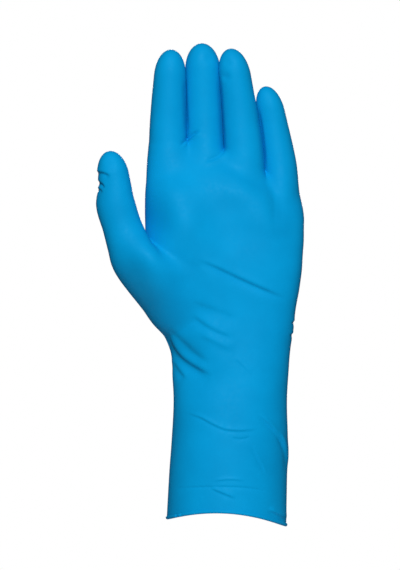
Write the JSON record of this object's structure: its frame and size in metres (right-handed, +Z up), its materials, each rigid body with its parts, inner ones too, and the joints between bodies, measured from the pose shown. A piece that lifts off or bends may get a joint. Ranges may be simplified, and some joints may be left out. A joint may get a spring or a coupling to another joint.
{
  "type": "latex glove",
  "caption": "Worn left-hand latex glove with a long cuff: a thin blue dipped film with closed fingers, open at a rolled bead.",
  "frame": {"origin": "middle of the open mouth of the cuff", "axes": "+Z up the forearm from the mouth to the fingertips, the palm faces -Y, the thumb is at -X"},
  "size_m": [0.1283, 0.0572, 0.2996],
  "materials": {
    "latex": "satin"
  },
  "bodies": {
    "root": {"glove": "latex"}
  },
  "joints": []
}
